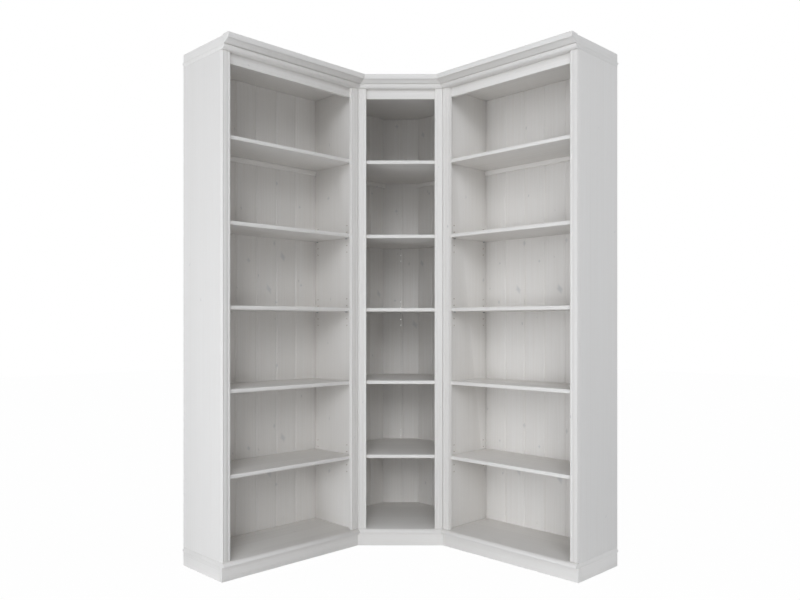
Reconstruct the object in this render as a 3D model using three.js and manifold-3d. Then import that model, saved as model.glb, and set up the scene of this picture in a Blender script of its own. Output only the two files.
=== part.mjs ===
import * as THREE from "three";
import { mergeVertices } from "three/addons/utils/BufferGeometryUtils.js";
import Module from "manifold-3d";

const wasm = await Module();
wasm.setup();

// A corner library in whitewashed pine: one tower along each wall and a unit with a
// diagonal front between them. Millimetres, +Z up. The room's walls are the planes of
// greatest x and greatest y, and the origin is on the floor, under the middle of the
// footprint. "Left" and "right" are as seen by someone who stands before the corner.

// Overall sizes
const unitHeight = 2243;
const towerWidth = 741.5;
const cornerLeg = 602.2; // along a wall, from a tower's end to the back of the cases
const caseDepth = 314; // from the face of the stiles to the back edge of the sides

// Clearance between pieces that touch in the real unit
const fitGap = 0.3;

// Case boards
const sideThickness = 18;
const shelfThickness = 16;
const deckThickness = 18.5; // the boards above the plinth and below the crown
const deckFrontReach = 17; // how far their rounded front edge stands before the stiles
const deckBackReach = 10; // how far they run past the sides, up to the wall
const noseSteps = 6; // facets of the rounded edge

// Fluted stiles
const stileWidth = 40;
const stileThickness = 16;
const fluteWidth = 11.5;
const fluteDepth = 3;
const fluteCentreShares = [0.27, 0.73]; // of the stile's width
const fluteHalfSteps = 3;

// Frieze rail under the top deck
const friezeHeight = 43.9;
const friezeThickness = 18;

// Plinth
const plinthHeight = 60.7;
const plinthThickness = 18;

// Crown
const crownHeight = 40.7;
const crownReach = 49; // from the face of the stiles to the crown's front
const crownThickness = 42;
const crownSideHeight = 36;
const crownSideThickness = 18;

// Back boards, tongued and grooved, with a shadow groove at each joint
const backThickness = 10;
const backBoardPitch = 114.4;
const backGrooveWidth = 8;
const backGrooveDepth = 3;
const towerEndBoard = 11.8; // the strip of board that shows at the tower's free end
const cornerEndBoard = 97; // the wall board next to the slanted centre boards
const centreBoardSetback = 112; // from the corner of the case backs to their face
const centreGrooveOffset = 9; // of the joint between them, to the right of the middle

// Battens on the back boards, under the top shelf
const battenHeight = 21;
const battenThickness = 10;

// Paint
const framePaint = 0xd8d8d5;
const shelfPaint = 0xd4d4d0;
const backPaint = 0xcfcfcb;
const paintRoughness = 0.6;

// The undersides of the shelves, as shares of the height between the decks.
const shelfShares = [0.1594, 0.3285, 0.4942, 0.6618, 0.831];

// Section of the crown, as shares of its thickness, from the back, and of its height:
// a quirk above the deck, a shallow cove and a flat fascia.
const crownShares = [
  [0, 0],
  [0.1, 0],
  [0.1, 0.06],
  [0.27, 0.06],
  [0.46, 0.19],
  [0.63, 0.31],
  [0.77, 0.4],
  [0.89, 0.44],
  [1, 0.44],
  [1, 1],
  [0, 1],
];

// The back edge of a tower's deck, as shares of its reach and of the deck's thickness,
// from the narrow side to the wide one.
const backEdgeShares = [
  [0, 0],
  [0, 0.3],
  [1, 0.8],
  [1, 1],
];

// Heights
const bottomDeckBase = plinthHeight + fitGap;
const bottomDeckTop = bottomDeckBase + deckThickness;
const crownBase = unitHeight - crownHeight;
const topDeckBase = crownBase - fitGap - deckThickness;
const caseBase = bottomDeckTop + fitGap;
const caseHeight = topDeckBase - fitGap - caseBase;
const clearHeight = topDeckBase - bottomDeckTop;
const shelfBases = shelfShares.map((share) => bottomDeckTop + share * clearHeight);
const battenBase = shelfBases.at(-1) - fitGap - battenHeight;

// Plan
const wallLength = towerWidth + fitGap + cornerLeg + deckBackReach;
const halfPlan = wallLength / 2;
const caseBack = halfPlan - deckBackReach;
const towerFront = caseBack - caseDepth;
const diagonalRise = cornerLeg - caseDepth; // a leg of the triangle that the front cuts off
const diagonal = Math.SQRT2;
const cornerFrontWidth = diagonalRise * diagonal;
const slantGap = fitGap * diagonal; // along a wall, across a slanted joint

// Geometry helpers

function shapeOf(points) {
  return new THREE.Shape(points.map(([x, y]) => new THREE.Vector2(x, y)));
}

function rectangle(x0, y0, x1, y1) {
  return [
    [x0, y0],
    [x1, y0],
    [x1, y1],
    [x0, y1],
  ];
}

// A plan outline raised to a height.
function raise(shape, height) {
  return new THREE.ExtrudeGeometry(shape, {
    depth: height,
    bevelEnabled: false,
    curveSegments: fluteHalfSteps,
  });
}

// A section in depth and height, run along +X.
function run(points, length) {
  const xAxis = new THREE.Vector3(1, 0, 0);
  const yAxis = new THREE.Vector3(0, 1, 0);
  const zAxis = new THREE.Vector3(0, 0, 1);
  const lay = new THREE.Matrix4().makeBasis(yAxis, zAxis, xAxis);
  return raise(shapeOf(points), length).applyMatrix4(lay);
}

// A run whose ends are cut on the planes between the corner unit and the towers, which
// meet its front at 45 degrees: each end moves by its own depth.
function runMitred(points, length) {
  const geometry = run(points, length);
  const place = geometry.attributes.position;
  for (let i = 0; i < place.count; i += 1) {
    const depth = place.getY(i);
    const atStart = place.getX(i) < length / 2;
    place.setX(i, atStart ? -depth : length + depth);
  }
  return geometry;
}

// The outline of a corner board: a square with its front corner cut off along
// x + y = front and its back corner along x + y = back.
function cornerOutline(side, wall, front, back) {
  return [
    [side, front - side],
    [front - side, side],
    [wall, side],
    [wall, back - wall],
    [back - wall, wall],
    [side, wall],
  ];
}

function swapAxes(points) {
  return points.map(([x, y]) => [y, x]);
}

function solidOf(geometry) {
  const bare = geometry.clone();
  bare.deleteAttribute("normal");
  bare.deleteAttribute("uv");
  const merged = mergeVertices(bare);
  return new wasm.Manifold(
    new wasm.Mesh({
      numProp: 3,
      vertProperties: merged.attributes.position.array,
      triVerts: new Uint32Array(merged.index.array),
    }),
  );
}

function join(first, second) {
  const mesh = solidOf(first).add(solidOf(second)).getMesh();
  const geometry = new THREE.BufferGeometry();
  geometry.setAttribute("position", new THREE.BufferAttribute(mesh.vertProperties, 3));
  geometry.setIndex(new THREE.BufferAttribute(mesh.triVerts, 1));
  return geometry;
}

// Where the back boards meet along a length, from a first board of a given width. The
// last board is never narrower than half a board.
function boardJoints(firstBoard, length) {
  const joints = [];
  for (let at = firstBoard; at < length - backBoardPitch / 2; at += backBoardPitch) {
    joints.push(at);
  }
  return joints;
}

// Boards in plan, side by side, with a V-groove in their face at each joint.
function boardsOutline(length, thickness, joints) {
  const points = [[0, 0]];
  for (const joint of joints) {
    points.push([joint - backGrooveWidth / 2, 0]);
    points.push([joint, backGrooveDepth]);
    points.push([joint + backGrooveWidth / 2, 0]);
  }
  points.push([length, 0]);
  points.push([length, thickness]);
  points.push([0, thickness]);
  return points;
}

// A stile in plan, with round flutes in its face. One end is cut on a slant that moves
// its back corner out by the given distance.
function stileShape(slant) {
  const radius = (fluteWidth ** 2 / 4 + fluteDepth ** 2) / (2 * fluteDepth);
  const half = Math.asin(fluteWidth / 2 / radius);
  const up = Math.PI / 2;
  const shape = new THREE.Shape();
  shape.moveTo(0, 0);
  for (const share of fluteCentreShares) {
    shape.absarc(share * stileWidth, fluteDepth - radius, radius, up + half, up - half, true);
  }
  shape.lineTo(stileWidth, 0);
  shape.lineTo(stileWidth, stileThickness);
  shape.lineTo(-slant, stileThickness);
  shape.closePath();
  return shape;
}

// The crown's section, with its depths drawn in by a share.
function crownSection(depthShare) {
  const back = crownThickness - crownReach;
  return crownShares.map(([across, up]) => [
    (back - across * crownThickness) * depthShare,
    up * crownHeight,
  ]);
}

// A deck's rounded front edge, a quarter of an ellipse from its narrow face to its wide
// one: the wide face is below on the bottom deck and above on the top one.
function noseOf(reach, wideAbove) {
  const points = [];
  for (let step = 0; step <= noseSteps; step += 1) {
    const angle = (step / noseSteps) * (Math.PI / 2);
    const fromWide = deckThickness * Math.cos(angle);
    points.push([-reach * Math.sin(angle), wideAbove ? deckThickness - fromWide : fromWide]);
  }
  return points;
}

// The section of a tower's deck.
function deckSection(wideAbove) {
  const back = backEdgeShares.map(([out, across]) => [
    caseDepth + out * deckBackReach,
    (wideAbove ? across : 1 - across) * deckThickness,
  ]);
  return [...noseOf(deckFrontReach, wideAbove), ...back.reverse()];
}

// The corner unit's deck: a board in plan with a rounded strip joined to its front.
function cornerDeck(wideAbove) {
  const wall = cornerLeg + deckBackReach;
  const cut = 2 * cornerLeg - centreBoardSetback * diagonal + backThickness * diagonal;
  const board = raise(shapeOf(cornerOutline(0, wall, diagonalRise, cut)), deckThickness);
  const nose = noseOf(deckFrontReach / diagonal, wideAbove);
  const strip = [...nose, [stileThickness, nose.at(-1)[1]], [stileThickness, nose[0][1]]];
  const edge = runMitred(strip, cornerFrontWidth);
  edge.rotateZ(-Math.PI / 4);
  edge.translate(0, diagonalRise, 0);
  return join(board, edge);
}

function addPiece(group, name, geometry, paint, x, y, z) {
  const material = new THREE.MeshStandardMaterial({
    color: paint,
    roughness: paintRoughness,
    metalness: 0,
  });
  const mesh = new THREE.Mesh(geometry, material);
  mesh.name = name;
  mesh.position.set(x, y, z);
  group.add(mesh);
}

// A tower in its own frame: x runs from its free end to the corner unit, y from the
// face of its stiles to the wall.
function tower(side) {
  const group = new THREE.Group();
  const inner = towerWidth - sideThickness;
  const between = inner - sideThickness - 2 * fitGap;
  const start = sideThickness + fitGap;
  const boardFront = stileThickness + fitGap;
  const backFace = caseDepth - backThickness;
  const sideLength = caseDepth - boardFront;
  const shelfDepth = backFace - fitGap - boardFront;

  const panel = raise(shapeOf(rectangle(0, 0, sideThickness, sideLength)), caseHeight);
  addPiece(group, `${side}_tower_outer_side`, panel, framePaint, 0, boardFront, caseBase);
  addPiece(group, `${side}_tower_inner_side`, panel.clone(), framePaint, inner, boardFront, caseBase);

  const stile = raise(stileShape(0), caseHeight);
  const innerStile = towerWidth - stileWidth;
  addPiece(group, `${side}_tower_outer_stile`, stile, framePaint, 0, 0, caseBase);
  addPiece(group, `${side}_tower_inner_stile`, stile.clone(), framePaint, innerStile, 0, caseBase);

  const joints = boardJoints(towerEndBoard, between);
  const back = raise(shapeOf(boardsOutline(between, backThickness, joints)), caseHeight);
  addPiece(group, `${side}_tower_back_boards`, back, backPaint, start, backFace, caseBase);

  const bottomDeck = run(deckSection(false), towerWidth);
  const topDeck = run(deckSection(true), towerWidth);
  addPiece(group, `${side}_tower_bottom_deck`, bottomDeck, framePaint, 0, 0, bottomDeckBase);
  addPiece(group, `${side}_tower_top_deck`, topDeck, framePaint, 0, 0, topDeckBase);

  shelfBases.forEach((base, k) => {
    const shelf = raise(shapeOf(rectangle(0, 0, between, shelfDepth)), shelfThickness);
    addPiece(group, `${side}_tower_shelf_${k + 1}`, shelf, shelfPaint, start, boardFront, base);
  });

  const batten = raise(shapeOf(rectangle(0, 0, between, battenThickness)), battenHeight);
  const battenFront = backFace - fitGap - battenThickness;
  addPiece(group, `${side}_tower_back_batten`, batten, backPaint, start, battenFront, battenBase);

  const frieze = raise(shapeOf(rectangle(0, 0, between, friezeThickness)), friezeHeight);
  const friezeBase = topDeckBase - fitGap - friezeHeight;
  addPiece(group, `${side}_tower_frieze_rail`, frieze, framePaint, start, boardFront, friezeBase);

  const crown = run(crownSection(1), towerWidth);
  addPiece(group, `${side}_tower_crown_moulding`, crown, framePaint, 0, 0, crownBase);
  const crownSideFront = crownThickness - crownReach + fitGap;
  const crownSideLength = caseDepth - crownSideFront;
  const crownSideOutline = rectangle(0, 0, crownSideThickness, crownSideLength);
  const crownSide = raise(shapeOf(crownSideOutline), crownSideHeight);
  addPiece(group, `${side}_tower_crown_side`, crownSide, framePaint, 0, crownSideFront, crownBase);

  const plinthFront = raise(shapeOf(rectangle(0, 0, towerWidth, plinthThickness)), plinthHeight);
  addPiece(group, `${side}_tower_plinth_front`, plinthFront, framePaint, 0, 0, 0);
  const plinthStart = plinthThickness + fitGap;
  const plinthSideOutline = rectangle(0, 0, plinthThickness, caseDepth - plinthStart);
  const plinthSide = raise(shapeOf(plinthSideOutline), plinthHeight);
  const plinthInner = towerWidth - plinthThickness;
  addPiece(group, `${side}_tower_plinth_outer_side`, plinthSide, framePaint, 0, plinthStart, 0);
  const plinthCopy = plinthSide.clone();
  addPiece(group, `${side}_tower_plinth_inner_side`, plinthCopy, framePaint, plinthInner, plinthStart, 0);
  return group;
}

// The corner unit in its own frame: its origin is where the two towers' end planes
// cross, x runs towards the right wall and y towards the left wall.
function cornerUnit() {
  const group = new THREE.Group();
  const stileBack = diagonalRise + stileThickness * diagonal + slantGap;
  const wallFace = cornerLeg - backThickness;
  const centreFace = 2 * cornerLeg - centreBoardSetback * diagonal;
  const centreBack = centreFace + backThickness * diagonal;
  const inside = sideThickness + fitGap;

  const sideOutline = [
    [0, stileBack],
    [sideThickness, stileBack - sideThickness],
    [sideThickness, cornerLeg],
    [0, cornerLeg],
  ];
  const leftSide = raise(shapeOf(sideOutline), caseHeight);
  const rightSide = raise(shapeOf(swapAxes(sideOutline)), caseHeight);
  addPiece(group, "corner_left_side", leftSide, framePaint, 0, 0, caseBase);
  addPiece(group, "corner_right_side", rightSide, framePaint, 0, 0, caseBase);

  // The wall boards run behind the ends of the centre boards.
  const wallLengthInside = centreBack - wallFace - inside;
  const edge = centreFace - wallFace - inside;
  const joints = boardJoints(cornerEndBoard, edge).map((at) => edge - at);
  const wallOutline = boardsOutline(wallLengthInside, backThickness, joints.reverse());
  const leftWall = raise(shapeOf(wallOutline), caseHeight);
  const rightWall = raise(shapeOf(swapAxes(wallOutline)), caseHeight);
  addPiece(group, "corner_left_wall_boards", leftWall, backPaint, inside, wallFace, caseBase);
  addPiece(group, "corner_right_wall_boards", rightWall, backPaint, wallFace, inside, caseBase);

  const seat = wallFace - fitGap;
  const middle = centreFace / 2;
  const grooveX = middle + centreGrooveOffset / diagonal;
  const grooveHalf = backGrooveWidth / 2 / diagonal;
  const grooveIn = backGrooveDepth / diagonal;
  const centreOutline = [
    [centreFace - seat, seat],
    [grooveX - grooveHalf, centreFace - grooveX + grooveHalf],
    [grooveX + grooveIn, centreFace - grooveX + grooveIn],
    [grooveX + grooveHalf, centreFace - grooveX - grooveHalf],
    [seat, centreFace - seat],
    [seat, centreBack - seat],
    [centreBack - seat, seat],
  ];
  const centre = raise(shapeOf(centreOutline), caseHeight);
  addPiece(group, "corner_centre_boards", centre, backPaint, 0, 0, caseBase);

  addPiece(group, "corner_bottom_deck", cornerDeck(false), framePaint, 0, 0, bottomDeckBase);
  addPiece(group, "corner_top_deck", cornerDeck(true), framePaint, 0, 0, topDeckBase);

  const shelfOutline = cornerOutline(inside, seat, stileBack, centreFace - slantGap);
  shelfBases.forEach((base, k) => {
    const shelf = raise(shapeOf(shelfOutline), shelfThickness);
    addPiece(group, `corner_shelf_${k + 1}`, shelf, shelfPaint, 0, 0, base);
  });

  const battenFace = seat - battenThickness;
  const battenEnd = centreFace - slantGap;
  const battenOutline = [
    [inside, battenFace],
    [battenEnd - battenFace, battenFace],
    [battenEnd - seat, seat],
    [inside, seat],
  ];
  const leftBatten = raise(shapeOf(battenOutline), battenHeight);
  const rightBatten = raise(shapeOf(swapAxes(battenOutline)), battenHeight);
  addPiece(group, "corner_left_batten", leftBatten, backPaint, 0, 0, battenBase);
  addPiece(group, "corner_right_batten", rightBatten, backPaint, 0, 0, battenBase);

  const plinthBack = diagonalRise + plinthThickness * diagonal + slantGap;
  const plinthOutline = [
    [0, plinthBack],
    [plinthThickness, plinthBack - plinthThickness],
    [plinthThickness, cornerLeg],
    [0, cornerLeg],
  ];
  const leftPlinth = raise(shapeOf(plinthOutline), plinthHeight);
  const rightPlinth = raise(shapeOf(swapAxes(plinthOutline)), plinthHeight);
  addPiece(group, "corner_left_plinth", leftPlinth, framePaint, 0, 0, 0);
  addPiece(group, "corner_right_plinth", rightPlinth, framePaint, 0, 0, 0);

  group.add(diagonalFront());
  return group;
}

// The pieces of the corner unit's front, in a frame that starts at the left tower's
// edge: x runs along the front to the right, y into the unit.
function diagonalFront() {
  const group = new THREE.Group();
  group.position.set(0, diagonalRise, 0);
  group.rotation.z = -Math.PI / 4;

  const leftStile = raise(stileShape(stileThickness), caseHeight);
  const rightStile = leftStile.clone();
  rightStile.rotateY(Math.PI);
  rightStile.translate(0, 0, caseHeight);
  addPiece(group, "corner_left_stile", leftStile, framePaint, 0, 0, caseBase);
  addPiece(group, "corner_right_stile", rightStile, framePaint, cornerFrontWidth, 0, caseBase);

  // The frieze rail's ends are cut along the inner faces of the sides.
  const railFront = stileThickness + fitGap;
  const railBack = railFront + friezeThickness;
  const sideCut = (sideThickness + fitGap) * diagonal;
  const friezeOutline = [
    [sideCut - railFront, railFront],
    [cornerFrontWidth - sideCut + railFront, railFront],
    [cornerFrontWidth - sideCut + railBack, railBack],
    [sideCut - railBack, railBack],
  ];
  const frieze = raise(shapeOf(friezeOutline), friezeHeight);
  const friezeBase = topDeckBase - fitGap - friezeHeight;
  addPiece(group, "corner_frieze_rail", frieze, framePaint, 0, 0, friezeBase);

  const crown = runMitred(crownSection(1 / diagonal), cornerFrontWidth);
  addPiece(group, "corner_crown_moulding", crown, framePaint, 0, 0, crownBase);

  const plinth = runMitred(rectangle(0, 0, plinthThickness, plinthHeight), cornerFrontWidth);
  addPiece(group, "corner_plinth_front", plinth, framePaint, 0, 0, 0);
  return group;
}

const library = new THREE.Group();

const leftTower = tower("left");
leftTower.position.set(-halfPlan, towerFront, 0);
library.add(leftTower);

// The right tower is the left one's mirror image in the plane between the walls.
const rightTower = tower("right");
rightTower.position.set(towerFront, -halfPlan, 0);
rightTower.rotation.z = Math.PI / 2;
rightTower.scale.y = -1;
library.add(rightTower);

const corner = cornerUnit();
const cornerStart = caseBack - cornerLeg;
corner.position.set(cornerStart, cornerStart, 0);
library.add(corner);

export default library;
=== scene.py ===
import math
import random

import bmesh
import bpy
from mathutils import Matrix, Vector


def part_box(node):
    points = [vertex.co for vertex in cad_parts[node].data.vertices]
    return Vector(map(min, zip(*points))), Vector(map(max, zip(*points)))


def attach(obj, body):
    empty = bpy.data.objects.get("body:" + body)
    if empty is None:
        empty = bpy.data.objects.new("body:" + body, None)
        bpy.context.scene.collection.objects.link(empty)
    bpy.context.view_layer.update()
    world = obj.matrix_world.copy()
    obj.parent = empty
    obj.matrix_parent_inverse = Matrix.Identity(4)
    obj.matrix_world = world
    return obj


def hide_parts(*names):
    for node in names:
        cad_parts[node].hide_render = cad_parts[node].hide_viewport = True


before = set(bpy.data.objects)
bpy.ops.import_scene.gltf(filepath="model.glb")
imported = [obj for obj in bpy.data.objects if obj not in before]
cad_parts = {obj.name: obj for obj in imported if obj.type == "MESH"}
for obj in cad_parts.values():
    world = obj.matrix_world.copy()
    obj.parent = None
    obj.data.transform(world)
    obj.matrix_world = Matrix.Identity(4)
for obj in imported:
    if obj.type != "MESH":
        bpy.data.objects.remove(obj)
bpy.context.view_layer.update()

# A corner library in whitewashed pine: a tower along each wall and a unit with a diagonal
# front between them. Metres, +Z up. Every board of the model gets eased edges here, a
# direction for its grain and its paint. The side panels get rows of pin holes at the loose
# shelves, and the pins that these rest on.

random.seed(32)

# The room's directions
X_AXIS = Vector((1, 0, 0))
Y_AXIS = Vector((0, 1, 0))
Z_AXIS = Vector((0, 0, 1))
ALONG_DIAGONAL = Vector((1, -1, 0)).normalized()
INTO_CORNER = Vector((1, 1, 0)).normalized()

# Boards
WELD_DISTANCE = 2e-5
FLAT_ANGLE = math.radians(0.5)
SHARP_ANGLE = math.radians(32)
EASED_EDGE = 0.0006
EASED_STEPS = 2
EDGE_SLOT = 1  # the eased edges' place among a draft's materials
GROOVE_LOW = 0.001  # between these depths lie only the grooves' bottoms
GROOVE_HIGH = 0.009
FLUTE_REACH = 0.0045  # what lies deeper behind a stile's face isn't its flutes
FLUTE_SHARE = 0.4  # of their depth that the paint leaves

# Pin holes
HOLE_RADIUS = 0.0026
HOLE_DEPTH = 0.011
THROUGH_DEPTH = 0.03
PINNED_SIDES = ("outer_side", "inner_side", "left_side", "right_side")
HOLE_PITCH = 0.032
HOLES_IN_ROW = 5
HOLE_SIDES = 14
PIN_DROP = 0.0028  # from a shelf's underside to the middle of its pins
FRONT_COLUMN = 0.059  # behind the face of the stiles
BACK_COLUMN = 0.023  # before the back boards
LOOSE_SHELVES = (1, 3, 4)

# Shelf pins
PIN_RADIUS = 0.0024
PIN_SIDES = 12
COLLAR_RADIUS = 0.0027
COLLAR_THICKNESS = 0.001
COLLAR_MIDDLE = 0.55  # of its thickness, out from the panel
PEG_LENGTH = 0.009
SHANK_LENGTH = 0.009

# Paint
PAINT = (0.812, 0.791, 0.762)
BARE_WOOD = (0.5, 0.41, 0.31, 1)
KNOT_GREY = (0.41, 0.43, 0.45, 1)
FRAME_STAVE = 0.105
SHELF_STAVE = 0.096
BACK_BOARD_PITCH = 0.1144
BUMP_STRENGTH = 0.3
BUMP_DISTANCE = 0.0005
PAINT_IOR = 1.45

# Staves and their knots
STAVE_SHIFT = 11.0  # how far along the wood two staves can differ
PITH_SHIFT = 0.05
JOINT_FULL = 0.0002  # half the width of a joint, and where it has faded
JOINT_END = 0.0012
KNOT_CELL_SHAPE = 0.35  # width to length of the stretch of wood that a knot has
KNOT_SLANT = 0.35
KNOT_SHAPE = 0.5  # width to length
KNOT_EDGE = (0.7, 1.1)  # of its size, where a knot fades
HALO_EDGE = (0.9, 3.2)
PLACED_EDGE = (0.15, 0.85)

# The figure of the wood: how often it changes along, across and through a board
FINE_STREAKS = (2.6, 190.0, 190.0)
BROAD_STREAKS = (0.9, 74.0, 74.0)
SLOW_WAVE = (1.1, 6.0, 6.0)
FINE_STRENGTH = 2.2
BROAD_STRENGTH = 2.0
PITH_DEPTH = 0.03
TAPER = 0.014  # of the rings, along the board
WAVE_WIDTH = 0.03
KNOT_BEND = 0.004  # how far a knot bends the rings
YEAR = 0.0052
YEAR_END = 0.93  # of a year's width, where its late wood ends
LATE_WOOD = 2.5  # the higher, the narrower the dark part of a ring

# The wash: how much of the bare wood shows through, how rough it is and its height
THIN_WASH = 0.045
STREAK_SHOWS = 0.11
RING_SHOWS = 0.05
HALO_SHOWS = 0.03
KNOT_SHOWS = 0.36
TONE_RANGE = 0.018
JOINT_SHADE = -0.05
WORN_STREAKS = (0.05, 0.5)  # eased edges wear on the stronger streaks
EDGE_WEAR = 0.18
ROUGHNESS = 0.52
STREAK_ROUGHNESS = 0.12
KNOT_ROUGHNESS = -0.08
RING_HEIGHT = 0.45
KNOT_HEIGHT = -0.35
JOINT_HEIGHT = -0.6

# The larger knots of the back boards and of the inner sides: where along the wall and how
# high they are, how long and wide, and how slanted.
TOWER_KNOTS_LEFT = (
    (-0.153, 1.386, 0.040, 0.027, 0.35),
    (-0.234, 1.226, 0.042, 0.025, 0.45),
    (-0.203, 1.447, 0.024, 0.012, 0.0),
    (-0.188, 1.738, 0.020, 0.013, 0.0),
    (-0.348, 1.357, 0.022, 0.018, 0.2),
    (-0.191, 1.163, 0.016, 0.013, 0.0),
    (-0.042, 1.251, 0.013, 0.014, 0.0),
    (-0.051, 1.638, 0.014, 0.012, 0.0),
)
TOWER_KNOTS_RIGHT = (
    (-0.153, 1.226, 0.038, 0.025, -0.4),
    (-0.389, 1.221, 0.040, 0.029, -0.35),
    (-0.188, 1.449, 0.024, 0.015, 0.0),
    (-0.425, 1.445, 0.024, 0.014, 0.0),
    (-0.040, 1.360, 0.012, 0.010, 0.0),
    (-0.275, 1.357, 0.014, 0.012, 0.0),
)
PLACED_KNOTS = {
    "left_tower_back_boards": TOWER_KNOTS_LEFT,
    "right_tower_back_boards": TOWER_KNOTS_RIGHT,
    "corner_left_wall_boards": (
        (0.437, 1.766, 0.016, 0.014, 0.0),
        (0.487, 1.223, 0.038, 0.024, 0.40),
    ),
    "corner_right_wall_boards": (
        (0.439, 1.766, 0.016, 0.014, 0.0),
        (0.493, 1.391, 0.036, 0.024, -0.35),
        (0.486, 2.093, 0.034, 0.022, -0.30),
    ),
    "corner_centre_boards": (
        (-0.022, 2.144, 0.018, 0.018, 0.0),
        (-0.024, 1.679, 0.018, 0.014, 0.0),
        (-0.032, 1.187, 0.012, 0.014, 0.0),
        (0.077, 1.056, 0.040, 0.026, 0.40),
    ),
    "left_tower_inner_side": (
        (0.543, 1.944, 0.022, 0.006, 0.0),
        (0.552, 1.681, 0.016, 0.018, 0.2),
        (0.535, 1.181, 0.020, 0.006, 0.0),
        (0.556, 0.965, 0.012, 0.008, 0.0),
        (0.545, 0.591, 0.022, 0.007, 0.0),
        (0.545, 0.332, 0.020, 0.018, 0.35),
    ),
    "right_tower_inner_side": (
        (0.500, 1.680, 0.020, 0.007, 0.0),
        (0.635, 1.279, 0.022, 0.012, -0.3),
    ),
}
# In the towers they come again down the boards, but not above the top shelf. A repeat or
# a top of SINGLE_KNOTS is beyond any board.
REPEATED_KNOTS = ("left_tower_back_boards", "right_tower_back_boards")
KNOTS_REPEAT = 0.88
KNOTS_TOP = 1.84
SINGLE_KNOTS = 10.0

# Light: degrees round from the front towards the left, degrees up, narrowness, strength
LIGHT_COLOUR = (0.97, 1.0, 1.045, 1)
GLOWS = (
    (0, 24, 24, 2.2),
    (0, 20, 90, 6.8),
    (0, 32, 90, 2.1),
    (31, 3, 24, 0.66),
    (62, 3, 24, 3.1),
    (62, 45, 24, 0.54),
    (-62, 45, 24, 0.53),
    (108, 8, 7, 0.3),
    (-108, 8, 7, 1.65),
    (180, 25, 5, 0.5),
    (0, 90, 3, 0.35),
)
# Soft lamps: where each is, what it looks at, how wide it is and its power
LAMPS = {
    "low front lamp": ((-4.6, -1.95, 0.7), (0, 0, 0.7), 1.4, 8),
    "front lamp": ((-4.0, -3.0, 2.0), (0, 0, 1.1), 1.4, 7),
    "low left lamp": ((-4.0, 0, 0.35), (0, 0, 1.4), 0.7, 13),
    "near front lamp": ((-2.83, -2.83, 0.35), (0, 0, 1.4), 0.7, 7.4),
    "low glow": ((-2.2, -1.1, 0.02), (-2.2, -1.1, 3), 2.2, 4),
}

# Floor
FLOOR_HALF_WIDTH = 14
FLOOR_CELLS = 8
FLOOR_COLOUR = (0.9, 0.9, 0.9, 1)
FLOOR_WHITE = 0.985  # of the floor that the camera sees, the rest is lit
WHITE = (1, 1, 1, 1)

# Camera
CAMERA_PLACE = (-2.326586, -2.345846, 1.056)
CAMERA_HEADING = 0.789757
CAMERA_LENS = 33.8736
SENSOR_WIDTH = 36
CAMERA_RISE = 0.030725


# Which way each board lies


def directions(unit):
    """Which way a unit's front runs, and which way its depth."""
    if unit == "left":
        return X_AXIS, Y_AXIS
    if unit == "right":
        return Y_AXIS, X_AXIS
    return ALONG_DIAGONAL, INTO_CORNER


def unit_of(name):
    """The unit that a board belongs to, by the wall that it is parallel to."""
    if name.startswith("left_tower"):
        return "left"
    if name.startswith("right_tower"):
        return "right"
    for side in ("left", "right"):
        if name.startswith(f"corner_{side}") and not name.endswith("stile"):
            return side
    return "corner"


def grain_axes(name):
    """A board's own directions: along the grain, across it on its face, and through it."""
    front, depth = directions(unit_of(name))
    if "plinth" in name and "front" not in name or name.endswith("crown_side"):
        return depth, Z_AXIS, front
    if name.endswith("_side"):
        return Z_AXIS, depth, front
    if name.endswith(("stile", "boards")):
        return Z_AXIS, front, depth
    if "shelf" in name or name.endswith("deck"):
        return front, depth, Z_AXIS
    return front, Z_AXIS, depth


def paint_slot(name):
    if name.endswith(("boards", "batten")):
        return "back_paint"
    return "shelf_paint" if "shelf" in name else "frame_paint"


# Making pieces


def place(name, mesh):
    piece = bpy.data.objects.new(name, mesh)
    bpy.context.scene.collection.objects.link(piece)
    return piece


def as_mesh(piece, name):
    """The piece's mesh with its modifiers in it. The piece itself goes."""
    graph = bpy.context.evaluated_depsgraph_get()
    mesh = bpy.data.meshes.new_from_object(piece.evaluated_get(graph))
    mesh.name = name
    bpy.data.objects.remove(piece)
    return mesh


def welded_copy(node):
    """A copy of a CAD node's mesh with its loose triangles joined into whole faces."""
    mesh = node.data.copy()
    work = bmesh.new()
    work.from_mesh(mesh)
    bmesh.ops.remove_doubles(work, verts=work.verts, dist=WELD_DISTANCE)
    bmesh.ops.dissolve_limit(
        work, angle_limit=FLAT_ANGLE, verts=work.verts, edges=work.edges
    )
    weight = work.edges.layers.float.new("bevel_weight_edge")
    for edge in work.edges:
        edge[weight] = 1 if edge.calc_face_angle(0) > SHARP_ANGLE else 0
    work.to_mesh(mesh)
    work.free()
    mesh.shade_smooth()
    mesh.materials.clear()
    return mesh


def soften_flutes(name, mesh):
    """Makes a stile's flutes shallower."""
    _, _, through = grain_axes(name)
    face = min(vertex.co.dot(through) for vertex in mesh.vertices)
    for vertex in mesh.vertices:
        depth = vertex.co.dot(through) - face
        if depth < FLUTE_REACH:
            vertex.co -= through * depth * (1 - FLUTE_SHARE)


def ease_edges(piece):
    bevel = piece.modifiers.new("eased edges", "BEVEL")
    bevel.limit_method = "WEIGHT"
    bevel.width = EASED_EDGE
    bevel.segments = EASED_STEPS
    bevel.harden_normals = True
    bevel.material = EDGE_SLOT


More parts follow.
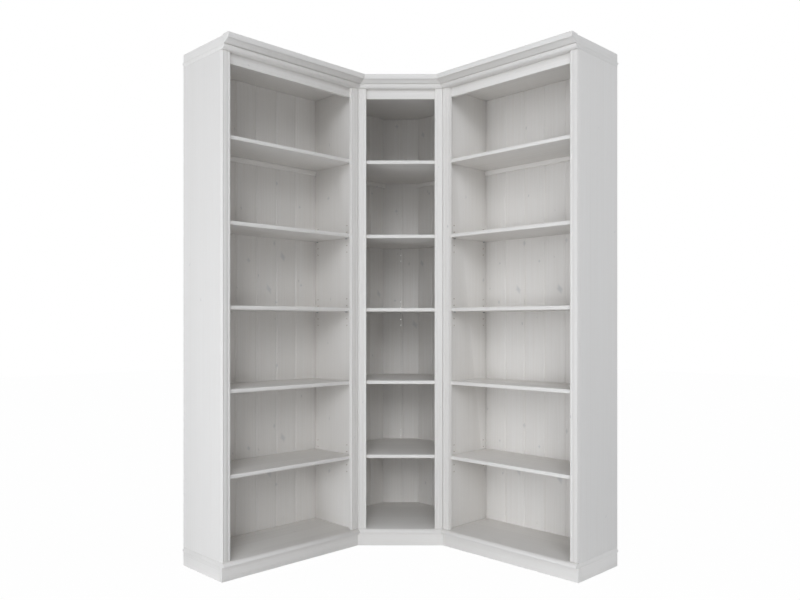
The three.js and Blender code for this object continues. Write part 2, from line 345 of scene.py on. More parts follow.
def mark_eased(mesh, paint):
    """Says which faces are eased edges, for the paint. The holes keep their bare wood,
    which carries painted shade.
    """
    layers = [mesh.materials[face.material_index] for face in mesh.polygons]
    mesh.materials.clear()
    mesh.materials.append(paint)
    if HOLE_WOOD_AND_SHADE in layers:
        mesh.materials.append(HOLE_WOOD_AND_SHADE)
    eased = mesh.attributes.new("eased", "FLOAT", "FACE")
    for face, layer, entry in zip(mesh.polygons, layers, eased.data):
        entry.value = 1 if layer == EDGE_MARK else 0
        face.material_index = 1 if layer == HOLE_WOOD_AND_SHADE else 0


def groove_places(name, mesh):
    """How far along a wall the joints of its back boards are."""
    _, across, through = grain_axes(name)
    face = min(vertex.co.dot(through) for vertex in mesh.vertices)
    found = {
        round(vertex.co.dot(across), 4)
        for vertex in mesh.vertices
        if GROOVE_LOW < vertex.co.dot(through) - face < GROOVE_HIGH
    }
    return sorted(found)


def lay_grain(name, mesh):
    """Gives each point its place on the board, along and across the grain.

    Boards with knots of their own keep their place in the room, so that their joints and
    knots fit. Every other board is cut from its own stretch of wood.
    """
    along, across, through = grain_axes(name)
    low = min(vertex.co.dot(through) for vertex in mesh.vertices)
    cut = (random.uniform(0, 40), random.uniform(0, 1))
    lot = random.uniform(0, 60)
    if name in PLACED_KNOTS:
        cut = (0, 0)
    shift = Vector((*cut, -low))
    mesh.attributes.new("board", "FLOAT_VECTOR", "POINT")
    mesh.attributes.new("lot", "FLOAT", "POINT")
    board = mesh.attributes["board"].data
    lots = mesh.attributes["lot"].data
    for vertex, at, number in zip(mesh.vertices, board, lots):
        co = vertex.co
        at.vector = Vector((co.dot(along), co.dot(across), co.dot(through))) + shift
        number.value = lot


# Node trees


def feed(tree, socket, value):
    """Joins an output to a socket, or sets the socket's own value."""
    if isinstance(value, bpy.types.NodeSocket):
        tree.links.new(value, socket)
    elif value is not None:
        socket.default_value = value


def add_node(tree, kind, *values, **settings):
    node = tree.nodes.new(kind)
    for setting, value in settings.items():
        setattr(node, setting, value)
    for socket, value in zip(node.inputs, values):
        feed(tree, socket, value)
    return node


def compute(tree, operation, *values):
    return add_node(tree, "ShaderNodeMath", *values, operation=operation).outputs[0]


def vector_math(tree, operation, *values):
    node = add_node(tree, "ShaderNodeVectorMath", *values, operation=operation)
    return node.outputs["Value" if operation in ("LENGTH", "DOT_PRODUCT") else "Vector"]


def stretch(tree, value, low, high, to_low=0.0, to_high=1.0):
    """A value's range laid softly on another."""
    node = add_node(
        tree,
        "ShaderNodeMapRange",
        value,
        low,
        high,
        to_low,
        to_high,
        interpolation_type="SMOOTHSTEP",
    )
    return node.outputs[0]


def noise(tree, vector, scale, detail, roughness):
    node = add_node(tree, "ShaderNodeTexNoise")
    feed(tree, node.inputs["Vector"], vector)
    feed(tree, node.inputs["Scale"], scale)
    feed(tree, node.inputs["Detail"], detail)
    feed(tree, node.inputs["Roughness"], roughness)
    return node.outputs[0]


def mix_colours(tree, share, first, second, kind="MIX"):
    node = add_node(tree, "ShaderNodeMix", data_type="RGBA", blend_type=kind)
    feed(tree, node.inputs[0], share)
    feed(tree, node.inputs[6], first)
    feed(tree, node.inputs[7], second)
    return node.outputs[2]


def new_group(name, kind, inputs, outputs):
    """A node group with named inputs and outputs, and the sockets of its two ends."""
    tree = bpy.data.node_groups.new(name, kind)
    for direction, sockets in (("INPUT", inputs), ("OUTPUT", outputs)):
        for socket_name, socket_kind, *value in sockets:
            socket = tree.interface.new_socket(
                name=socket_name, in_out=direction, socket_type="NodeSocket" + socket_kind
            )
            if value:
                socket.default_value = value[0]
    start = tree.nodes.new("NodeGroupInput").outputs
    end = tree.nodes.new("NodeGroupOutput").inputs
    return tree, start, end


def staves_group():
    """Boards glued up from staves: a point's place on its stave, and how staves differ."""
    tree, given, result = new_group(
        "glued staves",
        "ShaderNodeTree",
        [
            ("Board", "Vector"),
            ("Lot", "Float"),
            ("Stave Width", "Float", 0.1),
            ("First Joint", "Float"),
        ],
        [("Place", "Vector"), ("Tone", "Float"), ("Joint", "Float")],
    )
    split = add_node(tree, "ShaderNodeSeparateXYZ", given["Board"]).outputs
    steps = compute(tree, "SUBTRACT", split[1], given["First Joint"])
    steps = compute(tree, "DIVIDE", steps, given["Stave Width"])
    number = compute(tree, "FLOOR", steps)
    share = compute(tree, "SUBTRACT", compute(tree, "FRACT", steps), 0.5)
    key = add_node(tree, "ShaderNodeCombineXYZ", number, given["Lot"]).outputs[0]
    chance = add_node(tree, "ShaderNodeTexWhiteNoise", key, noise_dimensions="2D").outputs
    odd = add_node(tree, "ShaderNodeSeparateColor", chance["Color"]).outputs
    along = compute(tree, "MULTIPLY_ADD", odd[0], STAVE_SHIFT, split[0])
    middle = compute(tree, "SUBTRACT", odd[1], 0.5)
    middle = compute(tree, "MULTIPLY", middle, PITH_SHIFT)
    across = compute(tree, "MULTIPLY_ADD", share, given["Stave Width"], middle)
    spot = add_node(tree, "ShaderNodeCombineXYZ", along, across, split[2]).outputs[0]
    feed(tree, result["Place"], spot)
    tone = compute(tree, "MULTIPLY_ADD", chance["Value"], 2.0, -1.0)
    feed(tree, result["Tone"], tone)
    apart = compute(tree, "SUBTRACT", 0.5, compute(tree, "ABSOLUTE", share))
    apart = compute(tree, "MULTIPLY", apart, given["Stave Width"])
    feed(tree, result["Joint"], stretch(tree, apart, JOINT_FULL, JOINT_END, 1.0, 0.0))
    return tree


def knots_group():
    """Small slanted knots, a few on each stave."""
    tree, given, result = new_group(
        "knots",
        "ShaderNodeTree",
        [
            ("Place", "Vector"),
            ("Spacing", "Float", 0.3),
            ("Smallest", "Float", 0.002),
            ("Largest", "Float", 0.009),
            ("Share", "Float", 0.5),
        ],
        [("Knot", "Float"), ("Halo", "Float")],
    )
    split = add_node(tree, "ShaderNodeSeparateXYZ", given["Place"]).outputs
    across_step = compute(tree, "MULTIPLY", given["Spacing"], KNOT_CELL_SHAPE)
    u = compute(tree, "DIVIDE", split[0], given["Spacing"])
    v = compute(tree, "DIVIDE", split[1], across_step)
    cell = add_node(tree, "ShaderNodeCombineXYZ", u, v).outputs[0]
    cells = add_node(tree, "ShaderNodeTexVoronoi", voronoi_dimensions="2D")
    feed(tree, cells.inputs["Vector"], cell)
    cells.inputs["Scale"].default_value = 1
    away = vector_math(tree, "SUBTRACT", cell, cells.outputs["Position"])
    apart = add_node(tree, "ShaderNodeSeparateXYZ", away).outputs
    dx = compute(tree, "MULTIPLY", apart[0], given["Spacing"])
    dy = compute(tree, "MULTIPLY", apart[1], across_step)
    odd = add_node(tree, "ShaderNodeSeparateColor", cells.outputs["Color"]).outputs
    slant = compute(tree, "MULTIPLY_ADD", odd[2], 2 * KNOT_SLANT, -KNOT_SLANT)
    dy = compute(tree, "MULTIPLY_ADD", dx, slant, dy)
    dx = compute(tree, "MULTIPLY", dx, KNOT_SHAPE)
    shape = add_node(tree, "ShaderNodeCombineXYZ", dx, dy)
    far = vector_math(tree, "LENGTH", shape.outputs[0])
    size = stretch(tree, odd[1], 0.0, 1.0, given["Smallest"], given["Largest"])
    there = compute(tree, "LESS_THAN", odd[0], given["Share"])
    edge = compute(tree, "DIVIDE", far, size)
    knot = compute(tree, "MULTIPLY", stretch(tree, edge, *KNOT_EDGE, 1.0, 0.0), there)
    halo = compute(tree, "MULTIPLY", stretch(tree, edge, *HALO_EDGE, 1.0, 0.0), there)
    feed(tree, result["Knot"], knot)
    feed(tree, result["Halo"], halo)
    return tree


def placed_knot_group():
    """One large knot at its own place on a board, which comes again up the board."""
    tree, given, result = new_group(
        "placed knot",
        "ShaderNodeTree",
        [
            ("Board", "Vector"),
            ("Middle", "Vector"),
            ("Length", "Float", 0.02),
            ("Width", "Float", 0.01),
            ("Slant", "Float"),
            ("Repeat", "Float", KNOTS_REPEAT),
            ("Top", "Float", KNOTS_TOP),
            ("Others", "Float"),
        ],
        [("Knots", "Float")],
    )
    height = add_node(tree, "ShaderNodeSeparateXYZ", given["Board"]).outputs[0]
    away = vector_math(tree, "SUBTRACT", given["Board"], given["Middle"])
    apart = add_node(tree, "ShaderNodeSeparateXYZ", away).outputs
    half = compute(tree, "MULTIPLY", given["Repeat"], 0.5)
    back = compute(tree, "MULTIPLY", half, -1.0)
    up = compute(tree, "WRAP", apart[0], half, back)
    side = compute(tree, "MULTIPLY_ADD", up, given["Slant"], apart[1])
    long = compute(tree, "ABSOLUTE", compute(tree, "DIVIDE", up, given["Length"]))
    wide = compute(tree, "ABSOLUTE", compute(tree, "DIVIDE", side, given["Width"]))
    far = compute(tree, "ADD", long, wide)
    knot = stretch(tree, far, *PLACED_EDGE, 1.0, 0.0)
    below = compute(tree, "LESS_THAN", height, given["Top"])
    knot = compute(tree, "MULTIPLY", knot, below)
    feed(tree, result["Knots"], compute(tree, "MAXIMUM", knot, given["Others"]))
    return tree


def figure_group():
    """The figure of flat-sawn pine: fine streaks along the board, and its year rings."""
    tree, given, result = new_group(
        "pine figure",
        "ShaderNodeTree",
        [("Place", "Vector"), ("Bend", "Float")],
        [("Streak", "Float"), ("Ring", "Float")],
    )
    long_fine = vector_math(tree, "MULTIPLY", given["Place"], FINE_STREAKS)
    long_broad = vector_math(tree, "MULTIPLY", given["Place"], BROAD_STREAKS)
    fine = compute(tree, "SUBTRACT", noise(tree, long_fine, 1.0, 2.0, 0.6), 0.5)
    broad = compute(tree, "SUBTRACT", noise(tree, long_broad, 1.0, 2.0, 0.6), 0.5)
    broad = compute(tree, "MULTIPLY", broad, BROAD_STRENGTH)
    streak = compute(tree, "MULTIPLY_ADD", fine, FINE_STRENGTH, broad)
    feed(tree, result["Streak"], streak)
    split = add_node(tree, "ShaderNodeSeparateXYZ", given["Place"]).outputs
    slow = vector_math(tree, "MULTIPLY", given["Place"], SLOW_WAVE)
    wave = compute(tree, "SUBTRACT", noise(tree, slow, 1.0, 2.0, 0.5), 0.5)
    deep = compute(tree, "ADD", split[2], PITH_DEPTH)
    from_pith = add_node(tree, "ShaderNodeCombineXYZ", split[1], deep).outputs[0]
    radius = vector_math(tree, "LENGTH", from_pith)
    radius = compute(tree, "MULTIPLY_ADD", split[0], TAPER, radius)
    radius = compute(tree, "MULTIPLY_ADD", wave, WAVE_WIDTH, radius)
    radius = compute(tree, "MULTIPLY_ADD", given["Bend"], KNOT_BEND, radius)
    year = compute(tree, "FRACT", compute(tree, "DIVIDE", radius, YEAR))
    late = compute(tree, "POWER", year, LATE_WOOD)
    late = compute(tree, "MULTIPLY", late, stretch(tree, year, YEAR_END, 1.0, 1.0, 0.0))
    feed(tree, result["Ring"], late)
    return tree


def wash_group():
    """Pine under a white wash: its colour, how rough it is and how high it stands."""
    tree, given, result = new_group(
        "white wash",
        "ShaderNodeTree",
        [
            ("Wash", "Color", (0.7, 0.7, 0.7, 1)),
            ("Streak", "Float"),
            ("Ring", "Float"),
            ("Knot", "Float"),
            ("Halo", "Float"),
            ("Tone", "Float"),
            ("Joint", "Float"),
            ("Eased", "Float"),
            ("Figure", "Float", 1.0),
        ],
        [("Color", "Color"), ("Roughness", "Float"), ("Height", "Float")],
    )
    figure = compute(tree, "MULTIPLY_ADD", given["Streak"], STREAK_SHOWS, THIN_WASH)
    figure = compute(tree, "MULTIPLY_ADD", given["Ring"], RING_SHOWS, figure)
    figure = compute(tree, "MULTIPLY_ADD", given["Halo"], HALO_SHOWS, figure)
    figure = compute(tree, "MULTIPLY", figure, given["Figure"])
    figure = compute(tree, "MAXIMUM", figure, 0.0)
    colour = mix_colours(tree, figure, given["Wash"], BARE_WOOD)
    knot_share = compute(tree, "MULTIPLY", given["Knot"], KNOT_SHOWS)
    colour = mix_colours(tree, knot_share, colour, KNOT_GREY)
    shade = compute(tree, "MULTIPLY_ADD", given["Tone"], TONE_RANGE, 1.0)
    shade = compute(tree, "MULTIPLY_ADD", given["Joint"], JOINT_SHADE, shade)
    grey = add_node(tree, "ShaderNodeCombineXYZ", shade, shade, shade).outputs[0]
    colour = mix_colours(tree, 1.0, colour, grey, "MULTIPLY")
    worn = stretch(tree, given["Streak"], *WORN_STREAKS)
    worn = compute(tree, "MULTIPLY", worn, given["Eased"])
    worn = compute(tree, "MULTIPLY", worn, EDGE_WEAR)
    colour = mix_colours(tree, worn, colour, BARE_WOOD)
    feed(tree, result["Color"], colour)
    rough = compute(tree, "MULTIPLY_ADD", given["Streak"], STREAK_ROUGHNESS, ROUGHNESS)
    rough = compute(tree, "MULTIPLY_ADD", given["Knot"], KNOT_ROUGHNESS, rough)
    feed(tree, result["Roughness"], rough)
    height = compute(tree, "MULTIPLY_ADD", given["Ring"], RING_HEIGHT, given["Streak"])
    height = compute(tree, "MULTIPLY_ADD", given["Knot"], KNOT_HEIGHT, height)
    height = compute(tree, "MULTIPLY_ADD", given["Joint"], JOINT_HEIGHT, height)
    feed(tree, result["Height"], height)
    return tree


GROUPS = {
    "staves": staves_group(),
    "knots": knots_group(),
    "placed knot": placed_knot_group(),
    "figure": figure_group(),
    "wash": wash_group(),
}


def use_group(tree, name, **values):
    """A node that holds a group, with its inputs fed by name."""
    node = tree.nodes.new("ShaderNodeGroup")
    node.node_tree = GROUPS[name]
    for key, value in values.items():
        feed(tree, node.inputs[key.replace("_", " ")], value)
    return node.outputs


def attribute(tree, name, output):
    node = add_node(tree, "ShaderNodeAttribute", attribute_name=name)
    return node.outputs[output]


def new_material(name):
    material = bpy.data.materials.new(name)
    material.use_nodes = True
    shader = material.node_tree.nodes["Principled BSDF"]
    return material, material.node_tree, shader.inputs


def painted_pine(
    name, stave_width, knot_share, largest_knot, figure, joint=0.0, placed=(), painted_light_lift=1.0
):
    """Pine under the white wash, glued up from staves, with its knots and streaks. A lift
    above 1 paints the wash lighter: painted light.
    """
    material, tree, surface = new_material(name)
    repeated = name in REPEATED_KNOTS
    # A lift other than 1 paints light into the wash: a lighter or darker copy of the same
    # paint.
    wash = tuple(channel * painted_light_lift for channel in PAINT)
    board = attribute(tree, "board", "Vector")
    staves = use_group(
        tree,
        "staves",
        Board=board,
        Lot=attribute(tree, "lot", "Fac"),
        Stave_Width=stave_width,
        First_Joint=joint,
    )
    knots = use_group(
        tree, "knots", Place=staves["Place"], Share=knot_share, Largest=largest_knot
    )
    grain = use_group(tree, "figure", Place=staves["Place"], Bend=knots["Halo"])
    all_knots = knots["Knot"]
    for side, height, long, wide, slant in placed:
        all_knots = use_group(
            tree,
            "placed knot",
            Board=board,
            Middle=(height, side, 0),
            Length=long,
            Width=wide,
            Slant=slant,
            Repeat=KNOTS_REPEAT if repeated else SINGLE_KNOTS,
            Top=KNOTS_TOP if repeated else SINGLE_KNOTS,
            Others=all_knots,
        )["Knots"]
    paint = use_group(
        tree,
        "wash",
        Wash=(*wash, 1),
        Streak=grain["Streak"],
        Ring=grain["Ring"],
        Knot=all_knots,
        Halo=knots["Halo"],
        Tone=staves["Tone"],
        Joint=staves["Joint"],
        Eased=attribute(tree, "eased", "Fac"),
        Figure=figure,
    )
    bump = add_node(tree, "ShaderNodeBump")
    bump.inputs["Strength"].default_value = BUMP_STRENGTH
    bump.inputs["Distance"].default_value = BUMP_DISTANCE
    feed(tree, bump.inputs["Height"], paint["Height"])
    feed(tree, surface["Base Color"], paint["Color"])
    feed(tree, surface["Roughness"], paint["Roughness"])
    feed(tree, surface["Normal"], bump.outputs[0])
    surface["IOR"].default_value = PAINT_IOR
    return material


def zinc():
    material, tree, surface = new_material("zinc")
    spot = add_node(tree, "ShaderNodeTexCoord").outputs["Object"]
    mottle = noise(tree, spot, 900.0, 3.0, 0.6)
    colour = mix_colours(tree, mottle, (0.42, 0.43, 0.44, 1), (0.62, 0.63, 0.64, 1))
    feed(tree, surface["Base Color"], colour)
    feed(tree, surface["Roughness"], stretch(tree, mottle, 0.2, 0.8, 0.28, 0.5))
    surface["Metallic"].default_value = 1
    return material


def bare_pine_and_hole_shade():
    """The wood that shows inside the drilled holes, painted darker than bare pine: painted
    shade in the holes.
    """
    material, tree, surface = new_material("bare pine with painted hole shade")
    spot = add_node(tree, "ShaderNodeTexCoord").outputs["Object"]
    upright = vector_math(tree, "MULTIPLY", spot, (1.0, 1.0, 0.2))
    fibres = noise(tree, upright, 700.0, 3.0, 0.6)
    # Much darker than the bare wood of the wash: bare wood with painted shade inside the
    # holes.
    colour = mix_colours(tree, fibres, (0.20, 0.14, 0.08, 1), (0.40, 0.29, 0.19, 1))
    feed(tree, surface["Base Color"], colour)
    feed(tree, surface["Roughness"], stretch(tree, fibres, 0.2, 0.8, 0.7, 0.9))
    return material


PINS = zinc()
HOLE_WOOD_AND_SHADE = bare_pine_and_hole_shade()
EDGE_MARK = bpy.data.materials.new("edge mark")  # only until the eased edges are marked
FRAME_PAINT = painted_pine(
    "frame paint", FRAME_STAVE, knot_share=0.2, largest_knot=0.004, figure=0.45
)
SHELF_PAINT = painted_pine(
    "shelf paint", SHELF_STAVE, knot_share=0.25, largest_knot=0.005, figure=0.6
)
# The batten's wash is painted 10% lighter than the frame's: a painted highlight for the
# light that its face catches under the top shelf.
BATTEN_PAINTED_LIGHT = painted_pine(
    "batten paint with painted light", SHELF_STAVE, knot_share=0.25, largest_knot=0.005, figure=0.4, painted_light_lift=1.1
)


def finish_of(name, mesh):
    """The paint of a board. Back boards and the towers' inner sides have their own."""
    if name.endswith("boards"):
        joints = groove_places(name, mesh)
        return painted_pine(
            name,
            BACK_BOARD_PITCH,
            knot_share=0.4,
            largest_knot=0.005,
            figure=0.75 if name.startswith("right") else 1.0,
            joint=joints[0] if joints else 0.0,
            placed=PLACED_KNOTS[name],
        )
    if name in PLACED_KNOTS:
        return painted_pine(
            name,
            FRAME_STAVE,
            knot_share=0.2,
            largest_knot=0.005,
            figure=0.7,
            placed=PLACED_KNOTS[name],
        )
    if name.endswith("batten"):
        return BATTEN_PAINTED_LIGHT
    return FRAME_PAINT if paint_slot(name) == "frame_paint" else SHELF_PAINT


# Pin holes and pins


def column_places(name):
    """The two columns of pins on the inner face of a side panel: where, and which way."""
    unit = unit_of(name)
    front, depth = directions(unit)
    low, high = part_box(name)
    if name.startswith("corner"):
        boards = f"corner_{unit}_wall_boards"
        stiles = f"{unit}_tower_inner_stile"
        inner_is_high = True
    else:
        boards = f"{unit}_tower_back_boards"
        stiles = f"{unit}_tower_outer_stile"
        inner_is_high = name.endswith("outer_side")
    face = (high if inner_is_high else low).dot(front)
    facing = front if inner_is_high else -front
    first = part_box(stiles)[0].dot(depth) + FRONT_COLUMN
    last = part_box(boards)[0].dot(depth) - BACK_COLUMN
    return [(front * face + depth * at, facing) for at in (first, last)]


def centre_column(mesh):
    """The column of pins in the middle of the slanted centre boards."""
    face = min(vertex.co.dot(INTO_CORNER) for vertex in mesh.vertices)
    return [(INTO_CORNER * face, -INTO_CORNER)]


def pin_marks(columns, unit):
    """The middle of each row of holes in these columns, at every shelf that is loose."""
    marks = []
    for number in LOOSE_SHELVES:
        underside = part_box(f"{unit}_shelf_{number}")[0].z
        for spot, facing in columns:
            at = Vector((spot.x, spot.y, underside - PIN_DROP))
            marks.append((at, facing))
    return marks


def marks_mesh(name, marks):
    mesh = bpy.data.meshes.new(name)
    mesh.from_pydata([at for at, _ in marks], [], [])
    facing = mesh.attributes.new("facing", "FLOAT_VECTOR", "POINT")
    for entry, (_, way) in zip(facing.data, marks):
        entry.vector = way
    return mesh


def turn_to_face(tree):
    """A turn of +Z towards the way that each mark faces."""
    way = add_node(
        tree, "GeometryNodeInputNamedAttribute", "facing", data_type="FLOAT_VECTOR"
    )
    turn = add_node(tree, "FunctionNodeAlignRotationToVector", axis="Z")
    feed(tree, turn.inputs["Vector"], way.outputs[0])
    return turn.outputs[0]


def instance(tree, points, shape, rotation=None):
    node = add_node(tree, "GeometryNodeInstanceOnPoints")
    feed(tree, node.inputs["Points"], points)
    feed(tree, node.inputs["Instance"], shape)
    feed(tree, node.inputs["Rotation"], rotation)
    return add_node(tree, "GeometryNodeRealizeInstances", node.outputs[0]).outputs[0]


def cylinder(tree, sides, radius, depth):
    node = add_node(tree, "GeometryNodeMeshCylinder", fill_type="NGON")
    feed(tree, node.inputs["Vertices"], sides)
    feed(tree, node.inputs["Radius"], radius)
    feed(tree, node.inputs["Depth"], depth)
    return node.outputs["Mesh"]


def hole_rows_tree():
    """Rows of drill bits, one row up and down from each mark."""
    tree, given, result = new_group(
        "rows of holes",
        "GeometryNodeTree",
        [
            ("Marks", "Geometry"),
            ("Radius", "Float"),
            ("Depth", "Float"),
            ("Pitch", "Float"),
            ("Holes", "Int"),
            ("Sides", "Int"),
            ("Finish", "Material"),
        ],
        [("Bits", "Geometry")],
    )
    line = add_node(tree, "GeometryNodeMeshLine")
    step = add_node(tree, "ShaderNodeCombineXYZ", None, None, given["Pitch"]).outputs[0]
    gaps = compute(tree, "SUBTRACT", given["Holes"], 1.0)
    drop = compute(tree, "MULTIPLY", compute(tree, "MULTIPLY", gaps, -0.5), given["Pitch"])
    start = add_node(tree, "ShaderNodeCombineXYZ", None, None, drop).outputs[0]
    feed(tree, line.inputs["Count"], given["Holes"])
    feed(tree, line.inputs["Start Location"], start)
    feed(tree, line.inputs["Offset"], step)
    spots = instance(tree, given["Marks"], line.outputs[0])
    length = compute(tree, "MULTIPLY", given["Depth"], 2.0)
    bit = cylinder(tree, given["Sides"], given["Radius"], length)
    bits = instance(tree, spots, bit, turn_to_face(tree))
    finished = add_node(tree, "GeometryNodeSetMaterial")
    feed(tree, finished.inputs["Geometry"], bits)
    feed(tree, finished.inputs["Material"], given["Finish"])
    feed(tree, result["Bits"], finished.outputs[0])
    return tree


def shelf_pins_tree():
    """A pin at each mark: a shank in the hole, a collar on the panel, and the peg."""
    tree, given, result = new_group(
        "shelf pins",
        "GeometryNodeTree",
        [
            ("Marks", "Geometry"),
            ("Radius", "Float"),
            ("Collar Radius", "Float"),
            ("Collar Thickness", "Float"),
            ("Peg Length", "Float"),
            ("Shank Length", "Float"),
            ("Sides", "Int"),
            ("Finish", "Material"),
        ],
        [("Pins", "Geometry")],
    )
    join = tree.nodes.new("GeometryNodeJoinGeometry")
    half = compute(tree, "MULTIPLY", given["Shank Length"], -0.5)
    parts = (
        (given["Radius"], given["Shank Length"], half),
        (
            given["Collar Radius"],
            given["Collar Thickness"],
            compute(tree, "MULTIPLY", given["Collar Thickness"], COLLAR_MIDDLE),
        ),
        (
            given["Radius"],
            given["Peg Length"],
            compute(tree, "MULTIPLY", given["Peg Length"], 0.5),
        ),
    )
    for radius, depth, middle in parts:
        solid = cylinder(tree, given["Sides"], radius, depth)
        move = add_node(tree, "GeometryNodeTransform")
        offset = add_node(tree, "ShaderNodeCombineXYZ", None, None, middle).outputs[0]
        feed(tree, move.inputs["Geometry"], solid)
        feed(tree, move.inputs["Translation"], offset)
        feed(tree, join.inputs[0], move.outputs[0])
    pins = instance(tree, given["Marks"], join.outputs[0], turn_to_face(tree))
    finished = add_node(tree, "GeometryNodeSetMaterial")
    feed(tree, finished.inputs["Geometry"], pins)
    feed(tree, finished.inputs["Material"], given["Finish"])
    feed(tree, result["Pins"], finished.outputs[0])
    return tree


TREES = {"holes": hole_rows_tree(), "pins": shelf_pins_tree()}


def grow(name, marks, tree_name, **values):
    """The mesh that a Geometry Nodes tree makes at these marks."""
    draft = place(name, marks_mesh(name, marks))
    modifier = draft.modifiers.new(tree_name, "NODES")
    modifier.node_group = TREES[tree_name]
    for item in modifier.node_group.interface.items_tree:
        key = item.name.replace(" ", "_")
        if item.in_out == "INPUT" and key in values:
            modifier[item.identifier] = values[key]
    return as_mesh(draft, name)


def drill(piece, marks, depth):
    """Cuts the rows of holes into a board. The bits go once the board is made."""
    bits = place(
        piece.name + "_bits",
        grow(
            piece.name + "_marks",
            marks,
            "holes",
            Radius=HOLE_RADIUS,
            Depth=depth,
            Pitch=HOLE_PITCH,
            Holes=HOLES_IN_ROW,
            Sides=HOLE_SIDES,
            Finish=HOLE_WOOD_AND_SHADE,
        ),
    )
    cut = piece.modifiers.new("holes", "BOOLEAN")
    cut.operation = "DIFFERENCE"
    cut.solver = "EXACT"
    cut.material_mode = "TRANSFER"
    cut.object = bits
    return bits


# The boards

pins = []
for node_name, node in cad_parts.items():
    mesh = welded_copy(node)
    if node_name.endswith("stile"):
        soften_flutes(node_name, mesh)
    finish = finish_of(node_name, mesh)
    for layer in (finish, EDGE_MARK, HOLE_WOOD_AND_SHADE):
        mesh.materials.append(layer)
    draft = place(node_name + "_draft", mesh)
    bits = None
    if node_name.endswith(PINNED_SIDES) and "plinth" not in node_name:
        unit = "corner" if node_name.startswith("corner") else unit_of(node_name) + "_tower"
        marks = pin_marks(column_places(node_name), unit)
        pins += marks
        bits = drill(draft, marks, HOLE_DEPTH)
    elif node_name == "corner_centre_boards":
        marks = pin_marks(centre_column(mesh), "corner")
        pins += marks
        bits = drill(draft, marks, THROUGH_DEPTH)
    ease_edges(draft)
    mesh = as_mesh(draft, node_name)
    if bits:
        bpy.data.objects.remove(bits)
    mark_eased(mesh, finish)
    lay_grain(node_name, mesh)
    piece = place(node_name + "_board", mesh)
    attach(piece, "root")
    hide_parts(node_name)

pin_mesh = grow(
    "shelf_pins",
    pins,
    "pins",
    Radius=PIN_RADIUS,
    Collar_Radius=COLLAR_RADIUS,
    Collar_Thickness=COLLAR_THICKNESS,
    Peg_Length=PEG_LENGTH,
    Shank_Length=SHANK_LENGTH,
    Sides=PIN_SIDES,
    Finish=PINS,
)
shelf_pins = place("shelf_pins", pin_mesh)
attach(shelf_pins, "root")


# Floor, light and camera


def make_floor():
    """A pale floor that the camera sees nearly white, with the object's shadow on it."""
    work = bmesh.new()
    bmesh.ops.create_grid(
        work, x_segments=FLOOR_CELLS, y_segments=FLOOR_CELLS, size=FLOOR_HALF_WIDTH
    )
    mesh = bpy.data.meshes.new("floor")
    work.to_mesh(mesh)
    work.free()
    floor = place("floor", mesh)
    material = bpy.data.materials.new("pale floor")
    material.use_nodes = True
    tree = material.node_tree
    tree.nodes.clear()
    out = tree.nodes.new("ShaderNodeOutputMaterial")
    mix = tree.nodes.new("ShaderNodeMixShader")
    matt = tree.nodes.new("ShaderNodeBsdfDiffuse")
    matt.inputs["Color"].default_value = FLOOR_COLOUR
    glow = tree.nodes.new("ShaderNodeEmission")
    glow.inputs["Color"].default_value = WHITE
    path = tree.nodes.new("ShaderNodeLightPath")
    share = compute(tree, "MULTIPLY", path.outputs["Is Camera Ray"], FLOOR_WHITE)
    tree.links.new(share, mix.inputs["Fac"])
    tree.links.new(matt.outputs[0], mix.inputs[1])
    tree.links.new(glow.outputs[0], mix.inputs[2])
    tree.links.new(mix.outputs[0], out.inputs["Surface"])
    mesh.materials.append(material)


def toward(turn, rise):
    """The way to a glow: degrees round from the front towards the left, and degrees up."""
    turn, rise = math.radians(turn), math.radians(rise)
    level = -INTO_CORNER * math.cos(turn) - ALONG_DIAGONAL * math.sin(turn)
    return level * math.cos(rise) + Z_AXIS * math.sin(rise)


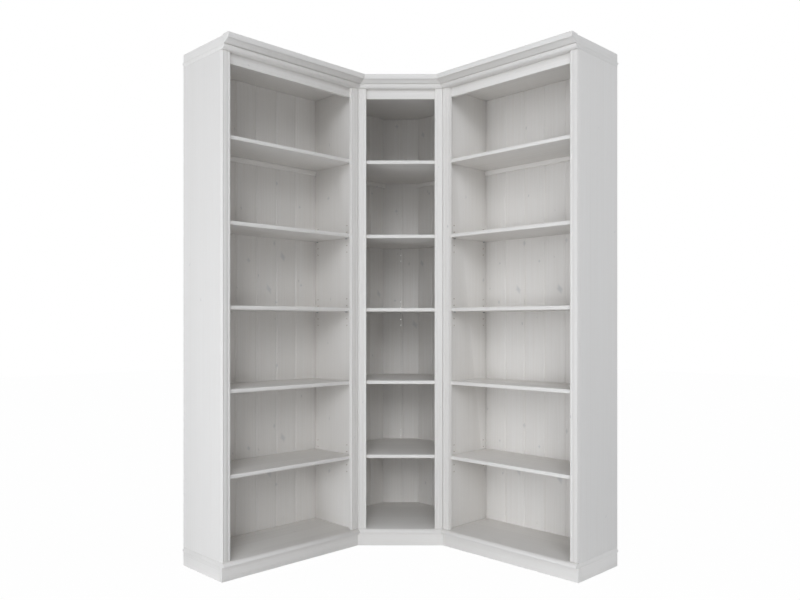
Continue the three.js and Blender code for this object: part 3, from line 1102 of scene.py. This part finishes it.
def make_world():
    """Soft studio light: a few wide glows. The camera and glossy rays see white."""
    world = bpy.data.worlds.new("studio")
    bpy.context.scene.world = world
    world.use_nodes = True
    tree = world.node_tree
    tree.nodes.clear()
    out = tree.nodes.new("ShaderNodeOutputWorld")
    mix = tree.nodes.new("ShaderNodeMixShader")
    soft = tree.nodes.new("ShaderNodeBackground")
    soft.inputs["Color"].default_value = LIGHT_COLOUR
    way = tree.nodes.new("ShaderNodeTexCoord").outputs["Generated"]
    level = 0.0
    for turn, rise, narrowness, strength in GLOWS:
        facing = vector_math(tree, "DOT_PRODUCT", way, toward(turn, rise))
        facing = compute(tree, "MAXIMUM", facing, 0.0)
        glow = compute(tree, "POWER", facing, narrowness)
        level = compute(tree, "MULTIPLY_ADD", glow, strength, level)
    feed(tree, soft.inputs["Strength"], level)
    white = tree.nodes.new("ShaderNodeBackground")
    white.inputs["Color"].default_value = WHITE
    white.inputs["Strength"].default_value = 1
    path = tree.nodes.new("ShaderNodeLightPath").outputs
    seen = compute(tree, "MAXIMUM", path["Is Camera Ray"], path["Is Glossy Ray"])
    tree.links.new(seen, mix.inputs["Fac"])
    tree.links.new(soft.outputs[0], mix.inputs[1])
    tree.links.new(white.outputs[0], mix.inputs[2])
    tree.links.new(mix.outputs[0], out.inputs["Surface"])


def soft_light(name, spot, aim, size, power):
    lamp = bpy.data.lights.new(name, "AREA")
    lamp.shape = "DISK"
    lamp.size = size
    lamp.energy = power
    lamp.color = LIGHT_COLOUR[:3]
    light = bpy.data.objects.new(name, lamp)
    light.visible_camera = False
    light.location = spot
    way = Vector(aim) - Vector(spot)
    light.rotation_euler = way.to_track_quat("-Z", "Y").to_euler()
    bpy.context.scene.collection.objects.link(light)


def make_camera():
    camera = bpy.data.cameras.new("camera")
    camera.lens = CAMERA_LENS
    camera.sensor_width = SENSOR_WIDTH
    camera.shift_y = CAMERA_RISE
    viewer = bpy.data.objects.new("camera", camera)
    viewer.location = CAMERA_PLACE
    viewer.rotation_euler = (math.pi / 2, 0, CAMERA_HEADING - math.pi / 2)
    bpy.context.scene.collection.objects.link(viewer)
    bpy.context.scene.camera = viewer


make_floor()
make_world()
for lamp_name, (spot, aim, size, power) in LAMPS.items():
    soft_light(lamp_name, spot, aim, size, power)
make_camera()
bpy.context.scene.view_settings.view_transform = "Standard"
